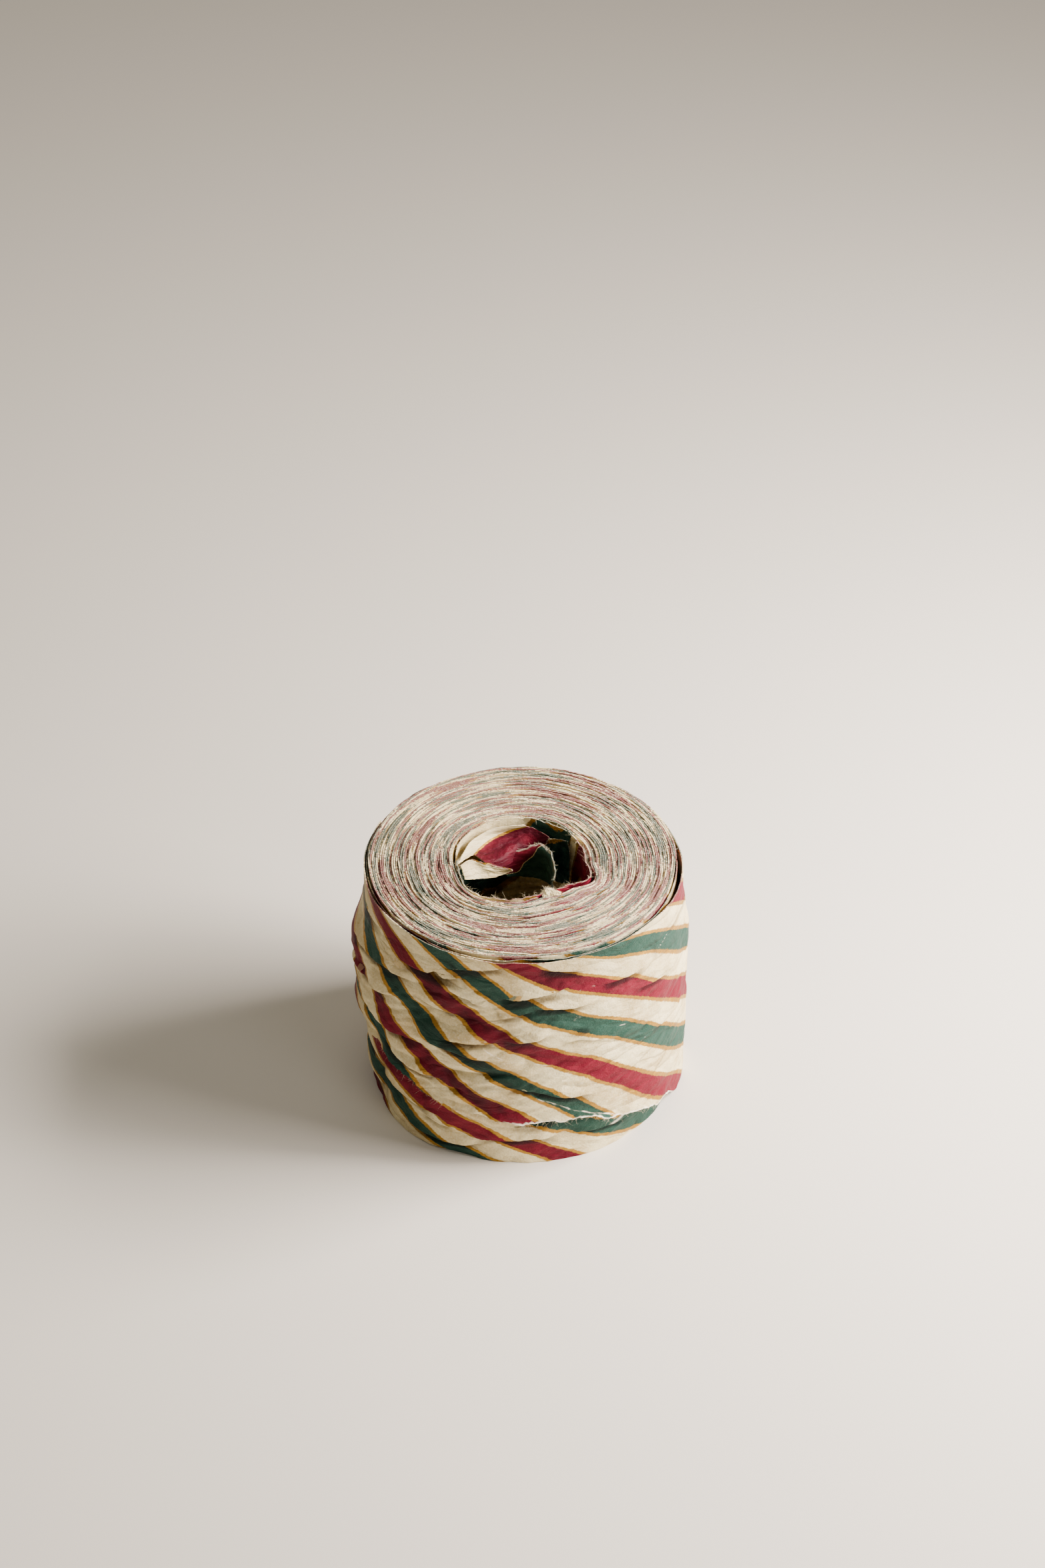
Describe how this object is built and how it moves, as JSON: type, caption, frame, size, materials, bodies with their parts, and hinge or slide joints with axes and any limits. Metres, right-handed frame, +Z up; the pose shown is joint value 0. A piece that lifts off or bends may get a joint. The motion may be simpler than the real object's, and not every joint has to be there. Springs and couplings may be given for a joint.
{
  "type": "roll of wrapping paper ribbon",
  "caption": "Short coreless roll of crumpled handmade paper strip with diagonal stripes, torn outer tail and a crumpled inner end standing in the hollow middle.",
  "frame": {"origin": "on the roll's winding axis, at the level of the flat end that it stands on", "axes": "+Z up along the winding axis; -Y is the front, where the torn edge of the outer turn shows; +X is the side where the tail leaves the fixed turn"},
  "size_m": [0.0622, 0.0598, 0.05],
  "materials": {
    "printed_paper": "crumpled handmade paper printed with crimson, green and gold diagonal stripes on cream, slightly glossy",
    "wound_edge": "fibrous cut edges of the wound turns, matt",
    "inner_paper": "the same printed paper, crumpled, in the hollow middle"
  },
  "bodies": {
    "roll": {"strip_length_8": "wound_edge", "outer_turn": "printed_paper"},
    "length_7": {"strip_length_7": "wound_edge"},
    "length_6": {"strip_length_6": "wound_edge"},
    "length_5": {"strip_length_5": "wound_edge"},
    "length_4": {"strip_length_4": "wound_edge"},
    "length_3": {"strip_length_3": "wound_edge"},
    "length_2": {"strip_length_2": "wound_edge"},
    "length_1": {"strip_length_1": "wound_edge"},
    "innermost": {"innermost_turn": "inner_paper"},
    "inner_end": {"inner_end_leaf": "inner_paper", "inner_end_lip": "inner_paper"},
    "tail_1": {"tail_segment_1": "printed_paper"},
    "tail_2": {"tail_segment_2": "printed_paper"},
    "tail_3": {"tail_segment_3": "printed_paper"},
    "tail_4": {"tail_segment_4": "printed_paper"}
  },
  "joints": [
    {"name": "pull_length_7", "type": "slide", "parent": "roll", "child": "length_7", "axis": [0, 0, 1], "range_m": [0, 0.004]},
    {"name": "pull_length_6", "type": "slide", "parent": "length_7", "child": "length_6", "axis": [0, 0, 1], "range_m": [0, 0.004]},
    {"name": "pull_length_5", "type": "slide", "parent": "length_6", "child": "length_5", "axis": [0, 0, 1], "range_m": [0, 0.004]},
    {"name": "pull_length_4", "type": "slide", "parent": "length_5", "child": "length_4", "axis": [0, 0, 1], "range_m": [0, 0.004]},
    {"name": "pull_length_3", "type": "slide", "parent": "length_4", "child": "length_3", "axis": [0, 0, 1], "range_m": [0, 0.004]},
    {"name": "pull_length_2", "type": "slide", "parent": "length_3", "child": "length_2", "axis": [0, 0, 1], "range_m": [0, 0.004]},
    {"name": "pull_length_1", "type": "slide", "parent": "length_2", "child": "length_1", "axis": [0, 0, 1], "range_m": [0, 0.004]},
    {"name": "pull_innermost", "type": "slide", "parent": "length_1", "child": "innermost", "axis": [0, 0, 1], "range_m": [0, 0.004]},
    {"name": "inner_end_fold", "type": "hinge", "parent": "innermost", "child": "inner_end", "pos_m": [-0.01103, 0.00116, 0.042], "axis": [0, 0, -1], "range_deg": [-3, 15]},
    {"name": "tail_bend_1", "type": "hinge", "parent": "roll", "child": "tail_1", "pos_m": [0.03098, 0, 0.025], "axis": [0, 0, 1], "range_deg": [0, 40]},
    {"name": "tail_bend_2", "type": "hinge", "parent": "tail_1", "child": "tail_2", "pos_m": [0.01866, -0.02325, 0.025], "axis": [0, 0, 1], "range_deg": [0, 40]},
    {"name": "tail_bend_3", "type": "hinge", "parent": "tail_2", "child": "tail_3", "pos_m": [-0.00643, -0.02902, 0.025], "axis": [0, 0, 1], "range_deg": [0, 40]},
    {"name": "tail_bend_4", "type": "hinge", "parent": "tail_3", "child": "tail_4", "pos_m": [-0.02728, -0.01345, 0.025], "axis": [0, 0, 1], "range_deg": [0, 40]}
  ],
  "couplings": [
    {"joint": "pull_length_6", "follows": "pull_length_7", "ratio": 1},
    {"joint": "pull_length_5", "follows": "pull_length_7", "ratio": 1},
    {"joint": "pull_length_4", "follows": "pull_length_7", "ratio": 1},
    {"joint": "pull_length_3", "follows": "pull_length_7", "ratio": 1},
    {"joint": "pull_length_2", "follows": "pull_length_7", "ratio": 1},
    {"joint": "pull_length_1", "follows": "pull_length_7", "ratio": 1},
    {"joint": "pull_innermost", "follows": "pull_length_7", "ratio": 1},
    {"joint": "tail_bend_2", "follows": "tail_bend_1", "ratio": 1},
    {"joint": "tail_bend_3", "follows": "tail_bend_1", "ratio": 1},
    {"joint": "tail_bend_4", "follows": "tail_bend_1", "ratio": 1}
  ]
}
